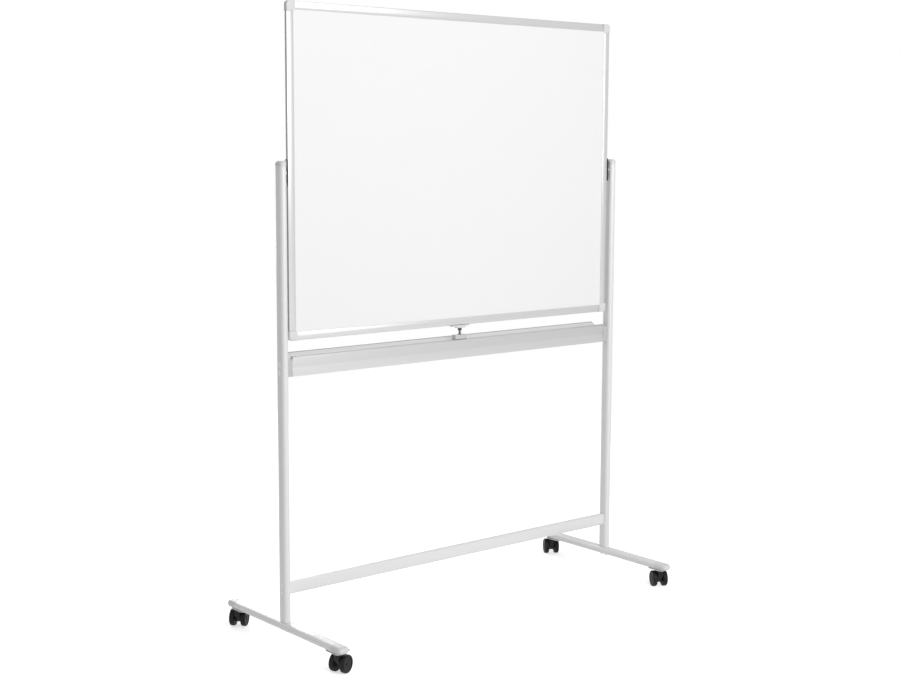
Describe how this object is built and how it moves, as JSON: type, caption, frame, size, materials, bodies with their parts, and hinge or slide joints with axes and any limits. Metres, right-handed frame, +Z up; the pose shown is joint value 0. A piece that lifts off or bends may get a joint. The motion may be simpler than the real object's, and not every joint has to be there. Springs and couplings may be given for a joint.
{
  "type": "rolling whiteboard",
  "caption": "Two-sided whiteboard in a metal frame that turns over between the posts of a wheeled stand with a pen tray.",
  "frame": {"origin": "on the floor, under the middle of the stand", "axes": "+X across the board to the right as seen from the front, +Y from the front to the rear, +Z up"},
  "size_m": [1.2995, 0.5739, 1.7556],
  "materials": {
    "aluminium": "satin anodised",
    "white_plastic": "satin moulded",
    "grey_paint": "satin powder coat",
    "white_sheet": "glossy white lacquer",
    "core_board": "raw fibreboard, out of sight",
    "zinc_steel": "zinc plated",
    "black_plastic": "moulded",
    "black_tyre": "moulded"
  },
  "bodies": {
    "stand": {"post_left": "grey_paint", "post_cap_left": "white_plastic", "tray_end_left": "white_plastic", "foot_left": "grey_paint", "foot_cap_front_left": "white_plastic", "foot_cap_rear_left": "white_plastic", "tray_screw_left_upper": "zinc_steel", "tray_screw_left_lower": "zinc_steel", "crossbar_screw_left_upper": "zinc_steel", "crossbar_screw_left_lower": "zinc_steel", "foot_bolt_left_front": "zinc_steel", "foot_bolt_left_rear": "zinc_steel", "caster_stem_front_left": "zinc_steel", "caster_stem_rear_left": "zinc_steel", "post_right": "grey_paint", "post_cap_right": "white_plastic", "tray_end_right": "white_plastic", "foot_right": "grey_paint", "foot_cap_front_right": "white_plastic", "foot_cap_rear_right": "white_plastic", "tray_screw_right_upper": "zinc_steel", "tray_screw_right_lower": "zinc_steel", "crossbar_screw_right_upper": "zinc_steel", "crossbar_screw_right_lower": "zinc_steel", "foot_bolt_right_front": "zinc_steel", "foot_bolt_right_rear": "zinc_steel", "caster_stem_front_right": "zinc_steel", "caster_stem_rear_right": "zinc_steel", "crossbar": "grey_paint", "pen_tray": "aluminium", "latch_base": "white_plastic", "latch_spring": "zinc_steel"},
    "board": {"board_core": "core_board", "sheet_front": "white_sheet", "sheet_rear": "white_sheet", "rail_bottom": "aluminium", "rail_top": "aluminium", "rail_left": "aluminium", "rail_right": "aluminium", "corner_bottom_left": "white_plastic", "corner_top_left": "white_plastic", "pivot_plate_left": "zinc_steel", "corner_bottom_right": "white_plastic", "corner_top_right": "white_plastic", "pivot_plate_right": "zinc_steel"},
    "latch": {"latch_plunger": "white_plastic"},
    "caster_front_left": {"caster_hood_front_left": "black_plastic"},
    "wheel_front_left_a": {"caster_wheel_front_left_a": "black_tyre"},
    "wheel_front_left_b": {"caster_wheel_front_left_b": "black_tyre"},
    "pedal_front_left": {"brake_pedal_front_left": "black_plastic"},
    "caster_rear_left": {"caster_hood_rear_left": "black_plastic"},
    "wheel_rear_left_a": {"caster_wheel_rear_left_a": "black_tyre"},
    "wheel_rear_left_b": {"caster_wheel_rear_left_b": "black_tyre"},
    "caster_front_right": {"caster_hood_front_right": "black_plastic"},
    "wheel_front_right_a": {"caster_wheel_front_right_a": "black_tyre"},
    "wheel_front_right_b": {"caster_wheel_front_right_b": "black_tyre"},
    "caster_rear_right": {"caster_hood_rear_right": "black_plastic"},
    "wheel_rear_right_a": {"caster_wheel_rear_right_a": "black_tyre"},
    "wheel_rear_right_b": {"caster_wheel_rear_right_b": "black_tyre"},
    "pedal_rear_right": {"brake_pedal_rear_right": "black_plastic"}
  },
  "joints": [
    {"name": "board_turn", "type": "hinge", "parent": "stand", "child": "board", "pos_m": [0, 0, 1.305], "axis": [1, 0, 0], "continuous": true},
    {"name": "latch_slide", "type": "slide", "parent": "stand", "child": "latch", "axis": [0, 0, 1], "range_m": [-0.008, 0], "stiffness_N_per_m": 300, "springref_m": 0.004, "deforming": ["latch_spring"]},
    {"name": "swivel_front_left", "type": "hinge", "parent": "stand", "child": "caster_front_left", "pos_m": [-0.619, -0.249, 0.05], "axis": [0, 0, 1], "continuous": true},
    {"name": "wheel_spin_front_left_a", "type": "hinge", "parent": "caster_front_left", "child": "wheel_front_left_a", "pos_m": [-0.60602, -0.24376, 0.02479], "axis": [-0.3746, 0.9272, 0], "continuous": true},
    {"name": "wheel_spin_front_left_b", "type": "hinge", "parent": "caster_front_left", "child": "wheel_front_left_b", "pos_m": [-0.60602, -0.24376, 0.02479], "axis": [-0.3746, 0.9272, 0], "continuous": true},
    {"name": "brake_front_left", "type": "hinge", "parent": "caster_front_left", "child": "pedal_front_left", "pos_m": [-0.59582, -0.23963, 0.0425], "axis": [-0.3746, 0.9272, 0], "range_deg": [0, 14]},
    {"name": "swivel_rear_left", "type": "hinge", "parent": "stand", "child": "caster_rear_left", "pos_m": [-0.619, 0.249, 0.05], "axis": [0, 0, 1], "continuous": true},
    {"name": "wheel_spin_rear_left_a", "type": "hinge", "parent": "caster_rear_left", "child": "wheel_rear_left_a", "pos_m": [-0.60843, 0.25818, 0.02479], "axis": [-0.6561, 0.7547, 0], "continuous": true},
    {"name": "wheel_spin_rear_left_b", "type": "hinge", "parent": "caster_rear_left", "child": "wheel_rear_left_b", "pos_m": [-0.60843, 0.25818, 0.02479], "axis": [-0.6561, 0.7547, 0], "continuous": true},
    {"name": "swivel_front_right", "type": "hinge", "parent": "stand", "child": "caster_front_right", "pos_m": [0.619, -0.249, 0.05], "axis": [0, 0, 1], "continuous": true},
    {"name": "wheel_spin_front_right_a", "type": "hinge", "parent": "caster_front_right", "child": "wheel_front_right_a", "pos_m": [0.62579, -0.23675, 0.02479], "axis": [-0.8746, 0.4848, 0], "continuous": true},
    {"name": "wheel_spin_front_right_b", "type": "hinge", "parent": "caster_front_right", "child": "wheel_front_right_b", "pos_m": [0.62579, -0.23675, 0.02479], "axis": [-0.8746, 0.4848, 0], "continuous": true},
    {"name": "swivel_rear_right", "type": "hinge", "parent": "stand", "child": "caster_rear_right", "pos_m": [0.619, 0.249, 0.05], "axis": [0, 0, 1], "continuous": true},
    {"name": "wheel_spin_rear_right_a", "type": "hinge", "parent": "caster_rear_right", "child": "wheel_rear_right_a", "pos_m": [0.62662, 0.26074, 0.02479], "axis": [-0.8387, 0.5446, 0], "continuous": true},
    {"name": "wheel_spin_rear_right_b", "type": "hinge", "parent": "caster_rear_right", "child": "wheel_rear_right_b", "pos_m": [0.62662, 0.26074, 0.02479], "axis": [-0.8387, 0.5446, 0], "continuous": true},
    {"name": "brake_rear_right", "type": "hinge", "parent": "caster_rear_right", "child": "pedal_rear_right", "pos_m": [0.63262, 0.26997, 0.0425], "axis": [-0.8387, 0.5446, 0], "range_deg": [0, 14]}
  ]
}
